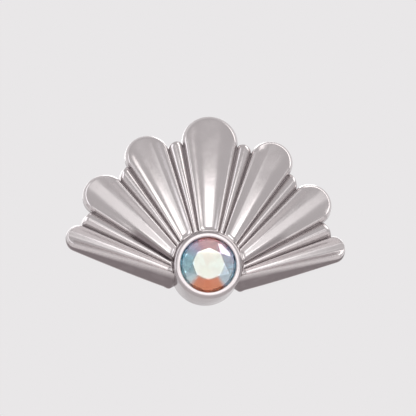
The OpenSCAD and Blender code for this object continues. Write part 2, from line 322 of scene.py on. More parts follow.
@dataclass(frozen=True)
class PolishedMetal:
    """A polished metal with fine hairlines, slow changes of gloss, and painted shade in grainy
    grooves.

    Attributes:
        name: The finish's name.
        colour: What the polished metal reflects, as sRGB hex.
        groove_shade: Colour in the grooves, where the polishing wheel doesn't reach.
        roughness: Roughness of the polished faces.
        groove_roughness: Roughness in the grooves.
        hairline: Distance between hairlines, in millimetres.
        hairline_depth: Depth of the hairlines, in millimetres.
        stretch: How many times longer than wide the hairlines are, along x, y and z.
        ripple: Size of the slow waves that polishing leaves, in millimetres.
        ripple_depth: Depth of those waves, in millimetres.
        grain: Size of the grain where the metal is left as it was cast or cut, in millimetres.
        grain_depth: Depth of that grain, in millimetres.
        patchiness: How much the painted shade comes and goes with the waves, from 0 to 1.
        patch_range: Values of the waves' noise between which it does so.
        gloss_change: How much the roughness comes and goes with the waves, from 0 to 1.
        gloss_range: Values of the waves' noise between which it does so.
    """

    name: str
    colour: str
    groove_shade: str
    roughness: float
    groove_roughness: float
    hairline: float
    hairline_depth: float
    stretch: tuple[float, float, float]
    ripple: float
    ripple_depth: float
    grain: float = 0.06
    grain_depth: float = 0.006
    patchiness: float = 0.06
    patch_range: tuple[float, float] = (0.35, 0.65)
    gloss_change: float = 0.15
    gloss_range: tuple[float, float] = (0.3, 0.7)

    def build(self) -> bpy.types.Material:
        """Makes the material.

        Returns:
            A metal whose recess attribute mixes in the painted shade's colour, in soft patches, and
            the grooves' roughness and grain.
        """
        material, tree = new_material(self.name)
        place = add_node(tree, "ShaderNodeTexCoord").outputs["Object"]
        spread = add_node(
            tree, "ShaderNodeMapping", {"Vector": place, "Scale": [1 / s for s in self.stretch]}
        )
        hairlines = add_node(
            tree,
            "ShaderNodeTexNoise",
            {"Vector": spread.outputs["Vector"], "Scale": per_mm(self.hairline), "Detail": 3.0},
        )
        ripples = add_node(
            tree,
            "ShaderNodeTexNoise",
            {"Vector": place, "Scale": per_mm(self.ripple), "Detail": 2.0},
        )
        recess = add_node(tree, "ShaderNodeAttribute", attribute_name="recess").outputs["Fac"]
        patches = add_node(
            tree,
            "ShaderNodeMapRange",
            {
                "Value": ripples.outputs["Fac"],
                "From Min": self.patch_range[0],
                "From Max": self.patch_range[1],
                "To Min": 1 - self.patchiness,
                "To Max": 1 + self.patchiness,
            },
        )
        dimmed = add_node(
            tree,
            "ShaderNodeMath",
            {0: recess, 1: patches.outputs["Result"]},
            operation="MULTIPLY",
            use_clamp=True,
        )
        # Painted shade: where the recess is high, the metal's colour is darkened towards the groove
        # shade.
        tint = add_node(
            tree,
            "ShaderNodeMix",
            {
                "Factor": dimmed.outputs["Value"],
                "A": linear(self.colour),
                "B": linear(self.groove_shade),
            },
            data_type="RGBA",
        )
        gloss = add_node(
            tree,
            "ShaderNodeMapRange",
            {
                "Value": ripples.outputs["Fac"],
                "From Min": self.gloss_range[0],
                "From Max": self.gloss_range[1],
                "To Min": self.roughness * (1 - self.gloss_change),
                "To Max": self.roughness * (1 + self.gloss_change),
            },
        )
        dulled = add_node(
            tree,
            "ShaderNodeMix",
            {"Factor": recess, "A": gloss.outputs["Result"], "B": self.groove_roughness},
        )
        waves = add_node(
            tree,
            "ShaderNodeBump",
            {"Height": ripples.outputs["Fac"], "Distance": self.ripple_depth * MM, "Strength": 1.0},
        )
        scratched = add_node(
            tree,
            "ShaderNodeBump",
            {
                "Height": hairlines.outputs["Fac"],
                "Distance": self.hairline_depth * MM,
                "Strength": 1.0,
                "Normal": waves.outputs["Normal"],
            },
        )
        grain = add_node(
            tree,
            "ShaderNodeTexNoise",
            {"Vector": place, "Scale": per_mm(self.grain), "Detail": 2.0},
        )
        grained = add_node(
            tree,
            "ShaderNodeBump",
            {
                "Height": grain.outputs["Fac"],
                "Distance": self.grain_depth * MM,
                "Strength": recess,
                "Normal": scratched.outputs["Normal"],
            },
        )
        shader = add_node(
            tree,
            "ShaderNodeBsdfPrincipled",
            {
                "Base Color": tint.outputs["Result"],
                "Metallic": 1.0,
                "Roughness": dulled.outputs["Result"],
                "Normal": grained.outputs["Normal"],
            },
        )
        add_node(tree, "ShaderNodeOutputMaterial", {"Surface": shader.outputs["BSDF"]})
        return material


class FeatureKind(Enum):
    """What a sector of the fan is."""

    PETAL = "petal"
    RIB = "rib"


@dataclass(frozen=True)
class Feature:
    """One sector of the fan's right half.

    Attributes:
        kind: Petal or rib.
        end_radius: Distance of its end from the point where the ribs meet.
        border: Angle of its outer border from straight up.
    """

    kind: FeatureKind
    end_radius: float
    border: float


FEATURES = (
    Feature(FeatureKind.PETAL, 5.90, 10.8),
    Feature(FeatureKind.RIB, 5.05, 16.8),
    Feature(FeatureKind.PETAL, 5.60, 34.2),
    Feature(FeatureKind.RIB, 4.80, 40.5),
    Feature(FeatureKind.PETAL, 5.31, 58.2),
    Feature(FeatureKind.RIB, 4.66, 65.4),
    Feature(FeatureKind.PETAL, 4.98, 74.6),
)


@dataclass
class Fan:
    """The cast fan of fluted petals, with ribs between them, leaning walls and a flat back.

    It is worked out in polar terms about the point where all ribs would meet, which lies below the
    stone's centre. Angles run from straight up. The pairs hold the value at which the metal's
    finish and its painted shade start to change, and the stretch over which they do so.

    Attributes:
        features: Sectors of the right half from the middle outwards, which the left half mirrors.
        meet_drop: How far the ribs' meeting point lies below the stone's centre.
        hub_thickness: Thickness beside the cup.
        tip_thickness: Thickness at the tip of the middle petal.
        dome_power: Power of the way out by which the dome falls.
        flute_depth: Depth of a petal's hollow.
        floor_power: Power that keeps the hollow's floor broad.
        groove_depth: Depth of the grooves between the features.
        edge_lean: Lean of the two lower walls, in degrees.
        tip_lean: Lean of the walls round the ends, in degrees.
        crest: Place of a rim's crest, from 0 on the petal's middle line to 1 on its border.
        tip_fall: Share by which the border falls less round a petal's end.
        hub_relief: Share of the full relief beside the cup.
        rib_rise: Height of a rib's crest above its grooves, as a share of their depth.
        envelope_fall: How much sooner the dome runs out at the side than straight up.
        hub_ring: Width of the ring round the cup over which the relief fades in.
        seam_width: Width of the rounding that runs into the cup.
        seam_depth: Depth of that rounding.
        end_round: Length of the rounding at a rib's end.
        seat_radius: Radius of the cup's seat at the front.
        seat_back_radius: Radius of the cup's seat at the back.
        back_edge: Width of the break along the back edge.
        buffed_rim: How far the front's polish runs down the walls.
        buffed_back: How far the back edge's polish runs up the walls.
        shoulder_reach: How far the grooves' dullness and painted shade run, where 1 is the petals'
            shoulders.
        groove_recess: Recess of the grooves, which sets their dullness and painted shade, from 0 to
            1.
        petal_dull: Where a petal turns dull, with painted shade, towards its border, as places
            across it.
        rib_dull: Where a rib does so.
        cup_dull: Where the metal beside the cup ends its dullness and painted shade, as distances
            from it.
        dark_groove: Feature whose outer border is the groove with the darkest painted shade near
            the cup.
        dark_end: Where that painted shade fades out, as distances from the meeting point.
        dark_petal_dull: Where the petal turns dull, with painted shade, towards that groove.
        dark_right_share: Darkness of the painted shade in the right one of these grooves, where the
            left one's is 1.
        side_recess: Recess of the two lower walls, which darkens them with painted shade.
        polished_side: Share of the walls' height over which the front's polish fades out.
        polished_side_recess: Recess where it starts to fade, as a share of the full one.
        tip_recess: Recess of the walls round the ends.
        back_edge_recess: Recess of the back edge.
        back_recess: Recess of the back.
        petal_steps: Columns across half a petal.
        rib_steps: Columns across half a rib.
        rows: Rows from the hub to the outline.
        finish: The casting's finish.
    """

    features: tuple[Feature, ...] = FEATURES
    meet_drop: float = 0.6
    hub_thickness: float = 1.3
    tip_thickness: float = 0.5
    dome_power: float = 1.4
    flute_depth: float = 0.18
    floor_power: float = 1.8
    groove_depth: float = 0.2
    edge_lean: float = 16.0
    tip_lean: float = 6.0
    crest: float = 0.866
    tip_fall: float = 0.5
    hub_relief: float = 0.55
    rib_rise: float = 0.9
    envelope_fall: float = 1.4
    hub_ring: float = 0.24
    seam_width: float = 0.14
    seam_depth: float = 0.12
    end_round: float = 0.12
    seat_radius: float = 1.12
    seat_back_radius: float = 1.1
    back_edge: float = 0.04
    buffed_rim: float = 0.07
    buffed_back: float = 0.1
    shoulder_reach: float = 1.02
    groove_recess: float = 0.6
    petal_dull: tuple[float, float] = (0.93, 0.07)
    rib_dull: tuple[float, float] = (0.55, 0.45)
    cup_dull: tuple[float, float] = (0.03, 0.12)
    dark_groove: int = 4
    dark_end: tuple[float, float] = (2.8, 0.6)
    dark_petal_dull: tuple[float, float] = (0.3, 0.3)
    dark_right_share: float = 0.5
    side_recess: float = 1.0
    polished_side: float = 0.35
    polished_side_recess: float = 0.2
    tip_recess: float = 0.4
    back_edge_recess: float = 0.15
    back_recess: float = 0.75
    petal_steps: int = 20
    rib_steps: int = 7
    rows: int = 100
    finish: PolishedMetal = PolishedMetal(
        # Cast titanium, tumbled and hand polished: soft broad highlights on a warm grey,
        # with duller, grainy grooves and walls that the polishing wheel didn't reach, in painted
        # shade.
        # Buffing leaves lines 0.005 mm apart, drawn six times coarser so that they show
        name="cast_titanium_hand_polished",
        colour="DED9D9",
        groove_shade="8C8385",
        roughness=0.2,
        groove_roughness=0.45,
        hairline=0.03,
        hairline_depth=0.0002,
        stretch=(1.0, 1.0, 4.0),
        ripple=0.45,
        ripple_depth=0.003,
    )

    def __post_init__(self) -> None:
        """Works out the angles and radii that the features imply."""
        outer = np.array([feature.border for feature in self.features])
        inner = np.concatenate([[-outer[0]], outer[:-1]])
        self.is_petal = np.array([f.kind is FeatureKind.PETAL for f in self.features])
        self.end_radius = np.array([feature.end_radius for feature in self.features])
        self.mid = (inner + outer) / 2
        self.half = (outer - inner) / 2
        # A petal is a wedge with a half round end, which its straight sides touch at the shoulder
        self.round_centre = self.end_radius / (1 + sind(self.half))
        self.shoulder = self.round_centre * cosd(self.half)

    def outline(self, k: np.ndarray, share: np.ndarray) -> np.ndarray:
        """Radius of the outline.

        A petal's is the far side of its half round. A rib's runs straight between its neighbours'
        shoulders, raised by a half ellipse.

        Args:
            k: Feature of each point.
            share: Place across the feature, from -1 to 1.

        Returns:
            Distance from the point where the ribs meet.
        """
        across = share * self.half[k]
        span = np.sqrt(np.maximum(0, sind(self.half[k]) ** 2 - sind(across) ** 2))
        petal = self.round_centre[k] * (cosd(across) + span)
        low, high = self.shoulder[k - 1], self.shoulder[np.minimum(k + 1, len(self.features) - 1)]
        middle = (low + high) / 2
        bump = (self.end_radius[k] - middle) * np.sqrt(np.maximum(0, 1 - share**2))
        return np.where(self.is_petal[k], petal, middle + share * (high - low) / 2 + bump)

    def hub(self, angle: np.ndarray) -> np.ndarray:
        """Radius at which the round seat for the cup begins, at each angle."""
        inside = self.seat_radius**2 - (self.meet_drop * sind(angle)) ** 2
        return self.meet_drop * cosd(angle) + np.sqrt(inside)

    def petal_places(
        self, k: np.ndarray, across: np.ndarray, radius: np.ndarray
    ) -> tuple[np.ndarray, np.ndarray, np.ndarray]:
        """Where a point lies in a petal.

        Both places are 0 on the petal's middle line and 1 on its border. The first is a share of
        the width there. The second's lines of equal value run round the petal's end as half
        circles.

        Args:
            k: Feature of each point.
            across: Angle from the petal's middle.
            radius: Distance from the point where the ribs meet.

        Returns:
            The share of the way from the shoulders to the tip, and the two places.
        """
        along = radius * cosd(across) - self.round_centre[k]
        # Held below 1, because the half round has no width at its very tip
        tip = np.clip(along / (self.round_centre[k] * sind(self.half[k])), 0, 0.999)
        wedge = np.where(tip > 0, self.round_centre[k], radius * cosd(across))
        side = np.abs(radius * sind(across)) / (wedge * sind(self.half[k]))
        return tip, np.minimum(1, side / np.sqrt(1 - tip**2)), np.minimum(1, np.hypot(tip, side))

    def relief(self, k: np.ndarray, share: np.ndarray, radius: np.ndarray) -> np.ndarray:
        """Relief below the dome, at full depth.

        A petal's hollow is half a cosine wave of a power of the way from its middle line to the
        rim's crest, which keeps the floor broad, and a quarter wave down to its border. Beyond the
        shoulders the rim sinks to the floor, so that the hollow runs out through the petal's end,
        where the border falls less. A rib is a quarter wave from its crest down to the border on
        each side, with a rounded end.

        Args:
            k: Feature of each point.
            share: Place across the feature, from -1 to 1.
            radius: Distance from the point where the ribs meet.

        Returns:
            The relief, 0 or less.
        """
        tip, width, ring = self.petal_places(k, share * self.half[k], radius)
        sunk = smooth(tip)
        hollow = (1 + cosd(180 * np.minimum(1, width / self.crest) ** self.floor_power)) / 2
        fall = 1 - cosd(90 * np.maximum(0, ring - self.crest) / (1 - self.crest))
        petal = -self.flute_depth * (hollow * (1 - sunk) + sunk)
        petal -= self.groove_depth * fall * (1 - self.tip_fall * sunk)
        end = np.maximum(0, 1 - (self.outline(k, share) - radius) / self.end_round)
        rib = -self.groove_depth * (1 - self.rib_rise * cosd(90 * share))
        rib = rib - self.end_round * end**2 / 2
        return np.where(self.is_petal[k], petal, rib)

    def front(self, k: np.ndarray, share: np.ndarray, radius: np.ndarray) -> np.ndarray:
        """Height of the front above the flat back.

        The dome falls from the hub's thickness to the tip's as a power of the way out. The relief
        fades in over the ring round the cup and deepens outwards, and a rounding runs into the cup.

        Args:
            k: Feature of each point.
            share: Place across the feature, from -1 to 1.
            radius: Distance from the point where the ribs meet.

        Returns:
            The height in millimetres.
        """
        angle = self.mid[k] + share * self.half[k]
        hub = self.hub(angle)
        envelope = self.end_radius[0] - self.envelope_fall * (1 - cosd(angle))
        reach = np.clip((radius - hub) / (envelope - hub), 0, 1)
        drop = self.hub_thickness - self.tip_thickness
        dome = self.hub_thickness - drop * reach**self.dome_power
        deepening = self.hub_relief + (1 - self.hub_relief) * reach
        fade = smooth((radius - hub) / self.hub_ring) * deepening
        seam = self.seam_depth * np.maximum(0, 1 - (radius - hub) / self.seam_width) ** 2
        return dome + self.relief(k, share, radius) * fade - seam

    def recess(
        self, k: np.ndarray, share: np.ndarray, radius: np.ndarray, side: np.ndarray
    ) -> np.ndarray:
        """How much painted shade and dullness each point of the front gets, from 0 to 1.

        It rises steeply towards each border between two features and over the last stretch beside
        the cup, which it darkens with painted shade. One groove on each side gets darker painted
        shade near the cup, less so on the right.

        Args:
            k: Feature of each point.
            share: Place across the feature, from -1 to 1.
            radius: Distance from the point where the ribs meet.
            side: -1 on the fan's left half and 1 on its right half.

        Returns:
            The recess.
        """
        place = self.petal_places(k, share * self.half[k], radius)[2]
        within = radius < self.shoulder[k] * self.shoulder_reach
        has_neighbour = (k < len(self.features) - 1) | (share < 0)
        petal = np.where(within & has_neighbour, rise(place, *self.petal_dull), 0)
        rib = rise(np.abs(share), *self.rib_dull)
        border = np.where(self.is_petal[k], petal, rib)
        hub = self.hub(self.mid[k] + share * self.half[k])
        beside_cup = 1 - rise(radius - hub, *self.cup_dull)
        # Painted shade: the groove beyond the dark feature is darkened near the cup, less on the
        # right
        inside_it = (k == self.dark_groove) & (share > 0)
        outside_it = (k == self.dark_groove + 1) & (share < 0)
        inner_part = 1 - rise(radius, *self.dark_end)
        flank = np.where(self.is_petal[k], rise(place, *self.dark_petal_dull), rib)
        dark = (inside_it | outside_it) * inner_part * flank
        dark = dark * np.where(side < 0, 1, self.dark_right_share)
        return np.maximum(self.groove_recess * np.maximum(border, beside_cup), dark)

    def build(self, back_height: float) -> bpy.types.Object:
        """Makes the fan's mesh and dresses it.

        Rows run from the hub to the outline, closest at both ends, and columns from the left lower
        edge to the right one. Walls lean out to the flat back and end in a small break of the edge.

        Args:
            back_height: How far in front of the origin's plane the fan's back lies.

        Returns:
            The finished piece.
        """
        last = len(self.features) - 1
        turns = [
            np.arange(0 if k == 0 else -steps, steps) / steps
            for k, steps in enumerate(np.where(self.is_petal, self.petal_steps, self.rib_steps))
        ]
        k = np.concatenate([np.full(len(t), i) for i, t in enumerate(turns)] + [[last]])
        share = np.concatenate([sind(90 * t) for t in turns] + [[1.0]])
        side = np.concatenate([np.full(len(k) - 1, -1), np.full(len(k), 1)])
        k = np.concatenate([k[:0:-1], k])
        share = np.concatenate([share[:0:-1], share])

        around = self.mid[k] + share * self.half[k]
        rim = self.outline(k, share)
        rows = (1 - cosd(180 * np.arange(self.rows + 1) / self.rows))[:, None] / 2
        radius = self.hub(around) + rows * (rim - self.hub(around))
        angle = side * around

        def placed(radii: np.ndarray, heights: np.ndarray) -> np.ndarray:
            """Points at the columns' angles, at these radii and heights."""
            x, up = radii * sind(angle), radii * cosd(angle) - self.meet_drop
            return np.stack([x + 0 * heights, up + 0 * heights, heights + 0 * radii], axis=-1)

        front = placed(radius, self.front(k, share, radius))
        top = front[-1]

        # Round the ends of the two outermost petals the walls turn to square off the lower edges
        across = share * self.half[k]
        turned_out = np.where(k < last, 0, np.maximum(0, share))
        squared = self.mid[k] + np.degrees(
            np.arctan2(rim * sind(across), rim * cosd(across) - self.round_centre[k])
        )
        facing = np.where(turned_out > 0, side * squared, angle)
        lean = self.tip_lean + (self.edge_lean - self.tip_lean) * turned_out

        def wall(
            edge: np.ndarray, lean_by: np.ndarray | float, out: np.ndarray | float
        ) -> np.ndarray:
            """Makes a wall that runs down and outwards from an edge of the front.

            Args:
                edge: Points along its top edge.
                lean_by: Angle by which it leans out, in degrees.
                out: Direction in which it leans out, from straight up.

            Returns:
                Six rows of points: the top edge, four down to the broken back edge, and the back.
            """
            out_way = np.stack([sind(out) + 0 * edge[:, 0], cosd(out) + 0 * edge[:, 0]], axis=-1)
            reach = (edge[:, 2] * np.tan(np.radians(lean_by)))[:, None]
            foot = np.concatenate([edge[:, :2] + reach * out_way, 0 * edge[:, 2:]], axis=1)
            upper = edge + (foot - edge) * (self.buffed_rim / edge[:, 2:])
            waist = edge + (foot - edge) * self.polished_side
            lower = foot + (edge - foot) * (self.buffed_back / edge[:, 2:])
            break_start = foot + (edge - foot) * (self.back_edge / edge[:, 2:])
            inset = foot.copy()
            inset[:, :2] -= self.back_edge * out_way
            return np.stack([edge, upper, waist, lower, break_start, inset])

        def wall_recess(edge: np.ndarray, middle: np.ndarray | float) -> np.ndarray:
            """Gives a wall's rows their recess: dull, with painted shade, between its two polished
            edges.

            Args:
                edge: Recess along the front's edge, which the first row shares.
                middle: Recess where the wall is dullest and its painted shade darkest.

            Returns:
                Six rows of values.
            """
            upper = self.polished_side_recess * middle
            rows = (edge, upper, middle, middle, self.back_edge_recess, self.back_recess)
            return np.stack([row + 0 * edge for row in rows])

        def sunk(points: np.ndarray) -> np.ndarray:
            """Points moved to the foot of the inner wall, inside the cup."""
            flat = points[..., :2] / np.linalg.norm(points[..., :2], axis=-1, keepdims=True)
            return np.concatenate([flat * self.seat_back_radius, 0 * points[..., 2:]], axis=-1)

        outer = wall(top, lean, facing)
        left = wall(front[:, 0], self.edge_lean, angle[0] - 90)
        right = wall(front[:, -1], self.edge_lean, angle[-1] + 90)
        inner = sunk(front[0])
        recess = self.recess(k, share, radius, side)
        # Painted shade on the two lower walls, which the side recess darkens fully
        edge_recess = [wall_recess(recess[:, column], self.side_recess) for column in (0, -1)]
        for edge, depth in zip((left, right), edge_recess):
            edge[1:, 0] = sunk(edge[-1, 0])
            depth[1:, 0] = self.back_recess
        inner[0], inner[-1] = left[-1, 0], right[-1, 0]
        outer[:, 0], outer[:, -1] = left[:, -1], right[:, -1]

        round_recess = self.tip_recess + (self.side_recess - self.tip_recess) * turned_out
        edges = Facets(
            [
                np.concatenate([inner[1:2], outer[-1, 1:2], left[-1, ::-1]]),
                np.concatenate([inner[-2:-1], right[-1], outer[-1, -2:-1]]),
            ],
            recess=self.back_recess,
        )
        piece = make_piece(
            "fan",
            [
                Patch(front, recess),
                Patch(outer, wall_recess(recess[-1], round_recess)),
                Patch(left, edge_recess[0]),
                Patch(right, edge_recess[1]),
                Patch(
                    np.stack([front[0], inner]),
                    np.stack([recess[0], np.full_like(recess[0], self.back_recess)]),
                ),
                Patch(np.stack([inner[1:-1], outer[-1, 1:-1]]), self.back_recess),
            ],
            [edges],
            back_height,
        )
        piece.data.materials.append(self.finish.build())
        return piece


@dataclass
class Cup:
    """The turned bezel cup: a blind socket in its foot, a pocket for the stone and a lip over it.

    Attributes:
        radius: Outer radius.
        height: Height of the lip above the setting's flat back.
        lip_radius: Radius of the opening in the lip.
        lip_round: Rounding of the lip's outer edge.
        lip_break: Rounding of the lip's inner edge.
        lip_underside: Height of the lip's underside above the girdle.
        underside_break: Rounding of the underside's edge.
        bore_radius: Radius of the bore round the girdle.
        bore_rise: Height of the bore's top above the girdle.
        girdle_height: Height of the top of the stone's girdle above the flat back.
        girdle: How far the bore runs down from there.
        pocket_radius: Radius of the pocket behind the stone.
        pocket_height: Height at which the pocket opens into the bore.
        floor: Height of the pocket's floor.
        socket_radius: Radius of the socket in the foot.
        socket_length: Depth of that socket.
        socket_break: Rounding of the socket's two edges.
        foot: Rounding of the foot's edge.
        sides: Steps round the axis.
        finish: The cup's finish.
    """

    radius: float = 1.15
    height: float = 1.7
    lip_radius: float = 0.93
    lip_round: float = 0.15
    lip_break: float = 0.05
    lip_underside: float = 0.09
    underside_break: float = 0.01
    bore_radius: float = 1.02
    bore_rise: float = 0.026
    girdle_height: float = GIRDLE_HEIGHT
    girdle: float = 0.07
    pocket_radius: float = 0.8
    pocket_height: float = 1.26
    floor: float = 0.49
    socket_radius: float = 0.42
    socket_length: float = 0.34
    socket_break: float = 0.02
    foot: float = 0.06
    sides: int = 192
    finish: PolishedMetal = PolishedMetal(
        # Turned titanium, burnished over the stone: a smoother ring than the casting, with faint
        # lines round it. The burnisher's lines are 0.005 mm apart, drawn four times coarser
        name="turned_titanium_burnished",
        colour="BFB9BA",
        groove_shade="9A8F92",
        roughness=0.2,
        groove_roughness=0.4,
        hairline=0.02,
        hairline_depth=0.0006,
        stretch=(1.0, 12.0, 1.0),
        ripple=0.5,
        ripple_depth=0.003,
    )

    def build(self, back_height: float) -> bpy.types.Object:
        """Turns the cup from its profile and dresses it.

        Args:
            back_height: How far in front of the origin's plane the cup's back lies.

        Returns:
            The finished piece.
        """
        under_lip = self.girdle_height + self.lip_underside
        profile = rounded(
            [
                (0, self.socket_length, 0),
                (self.socket_radius, self.socket_length, self.socket_break),
                (self.socket_radius, 0, self.socket_break),
                (self.radius, 0, self.foot),
                (self.radius, self.height, self.lip_round),
                (self.lip_radius, self.height, self.lip_break),
                (self.lip_radius, under_lip, self.underside_break),
                (self.bore_radius, self.girdle_height + self.bore_rise, 0),
                (self.bore_radius, self.girdle_height - self.girdle, 0),
                (self.pocket_radius, self.pocket_height, 0),
                (self.pocket_radius, self.floor, 0),
                (0, self.floor, 0),
            ],
            steps=8,
        )
        piece = make_piece("bezel_cup", [turned(profile, self.sides)], back_height=back_height)
        piece.data.materials.append(self.finish.build())
        return piece


@dataclass
class Setting:
    """The fan and its soldered cup, which stand on one back plane.

    Attributes:
        back_height: How far in front of the origin's plane that back lies.
        fan: The fan of petals.
        cup: The bezel cup.
    """

    back_height: float = BACK_HEIGHT
    fan: Fan = field(default_factory=Fan)
    cup: Cup = field(default_factory=Cup)

    def build(self) -> list[bpy.types.Object]:
        """Builds both pieces in place of the solid setting.

        Returns:
            The fan and the cup.
        """
        pieces = [self.fan.build(self.back_height), self.cup.build(self.back_height)]
        for piece in pieces:
            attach(piece, BODY)
            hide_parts("fan_setting")
        return pieces


@dataclass(frozen=True)
class CoatedCrystal:
    """Lead crystal under a thin rainbow film, which mirrors most of the light.

    The mirrored colour is pale on the table and turns round the crown as a painted sheen, so each
    facet there shows one fixed colour of its own. The rest of the light goes through to the foil
    behind the stone.

    Attributes:
        name: The finish's name.
        table: Colour that the film mirrors on the table.
        painted_sheen: (share of a turn from straight down, sRGB hex colour) of the painted sheen,
        clockwise from the front.
        fade: Distances from the axis between which the painted sheen comes in, in millimetres.
        coating: Share of the light that the film mirrors, as a metal does.
        ior: Refractive index of lead crystal.
        film: Thickness of the film, in nanometres.
        film_ior: Refractive index of the film, a metal oxide.
        roughness: Roughness of the polished facets.
    """

    name: str = "lead_crystal_rainbow_coated"
    table: str = "C9D6D0"
    painted_sheen: tuple[tuple[float, str], ...] = (
        (0.0, "F2886A"),
        (0.09, "EE947A"),
        (0.125, "D0EAF6"),
        (0.2, "B0EAFF"),
        (0.3, "A6E6FF"),
        (0.38, "D0CCF4"),
        (0.45, "F8D8EE"),
        (0.55, "FFE0EE"),
        (0.62, "E2D2F4"),
        (0.72, "DCE6FF"),
        (0.82, "CCECFF"),
        (0.875, "CCE8FC"),
        (0.91, "EE947A"),
        (1.0, "F2886A"),
    )
    fade: tuple[float, float] = (0.48, 0.56)
    coating: float = 0.65
    ior: float = 1.56
    film: float = 228.0
    film_ior: float = 2.1
    roughness: float = 0.02

    def build(self) -> bpy.types.Material:
        """Makes the coated glass: the angle round the stone's axis picks the painted sheen from a
        ramp.

        Returns:
            A half-mirrored glass whose painted sheen fades to the table's colour towards the axis.
        """
        material, tree = new_material(self.name)
        place = add_node(tree, "ShaderNodeTexCoord").outputs["Object"]
        parts = add_node(tree, "ShaderNodeSeparateXYZ", {"Vector": place})
        angle = add_node(
            tree,
            "ShaderNodeMath",
            {0: parts.outputs["X"], 1: parts.outputs["Z"]},
            operation="ARCTAN2",
        )
        turn = add_node(
            tree,
            "ShaderNodeMapRange",
            {"Value": angle.outputs["Value"], "From Min": -math.pi, "From Max": math.pi},
        )
        # Painted sheen: one fixed colour for each angle round the stone's axis
        ramp = add_node(tree, "ShaderNodeValToRGB", {"Fac": turn.outputs["Result"]})
        set_ramp(ramp, self.painted_sheen)
        flat = add_node(
            tree, "ShaderNodeVectorMath", {0: place, 1: (1, 0, 1)}, operation="MULTIPLY"
        )
        radius = add_node(
            tree, "ShaderNodeVectorMath", {0: flat.outputs["Vector"]}, operation="LENGTH"
        )
        outwards = add_node(
            tree,
            "ShaderNodeMapRange",
            {
                "Value": radius.outputs["Value"],
                "From Min": self.fade[0] * MM,
                "From Max": self.fade[1] * MM,
            },
        )
        tint = add_node(
            tree,
            "ShaderNodeMix",
            {
                "Factor": outwards.outputs["Result"],
                "A": linear(self.table),
                "B": ramp.outputs["Color"],
            },
            data_type="RGBA",
        )
        shader = add_node(
            tree,
            "ShaderNodeBsdfPrincipled",
            {
                "Base Color": tint.outputs["Result"],
                "Metallic": self.coating,
                "Roughness": self.roughness,
                "IOR": self.ior,
                "Transmission Weight": 1.0,
                "Thin Film Thickness": self.film,
                "Thin Film IOR": self.film_ior,
            },
        )
        add_node(tree, "ShaderNodeOutputMaterial", {"Surface": shader.outputs["BSDF"]})
        return material


@dataclass(frozen=True)
class MirrorFoil:
    """Vapour-coated mirror foil behind the stone, which sends the light back out of the table.

    Attributes:
        name: The finish's name.
        colour: What the foil reflects, as sRGB hex.
        roughness: Roughness of the foil.
        patch: Size of its more and less even patches, in millimetres.
        patch_change: How much the roughness comes and goes with them, from 0 to 1.
    """

    name: str = "mirror_foil_silvered"
    colour: str = "F4F6F4"
    roughness: float = 0.06
    patch: float = 0.4
    patch_change: float = 0.4

    def build(self) -> bpy.types.Material:
        """Makes the mirror, uneven as the pressed stone under it is.

        Returns:
            A mirror whose roughness varies a little.
        """
        material, tree = new_material(self.name)
        place = add_node(tree, "ShaderNodeTexCoord").outputs["Object"]
        uneven = add_node(
            tree,
            "ShaderNodeTexNoise",
            {"Vector": place, "Scale": per_mm(self.patch), "Detail": 2.0},
        )
        soft = add_node(
            tree,
            "ShaderNodeMapRange",
            {
                "Value": uneven.outputs["Fac"],
                "To Min": self.roughness * (1 - self.patch_change),
                "To Max": self.roughness * (1 + self.patch_change),
            },
        )
        shader = add_node(
            tree,
            "ShaderNodeBsdfPrincipled",
            {
                "Base Color": linear(self.colour),
                "Metallic": 1.0,
                "Roughness": soft.outputs["Result"],
            },
        )
        add_node(tree, "ShaderNodeOutputMaterial", {"Surface": shader.outputs["BSDF"]})
        return material


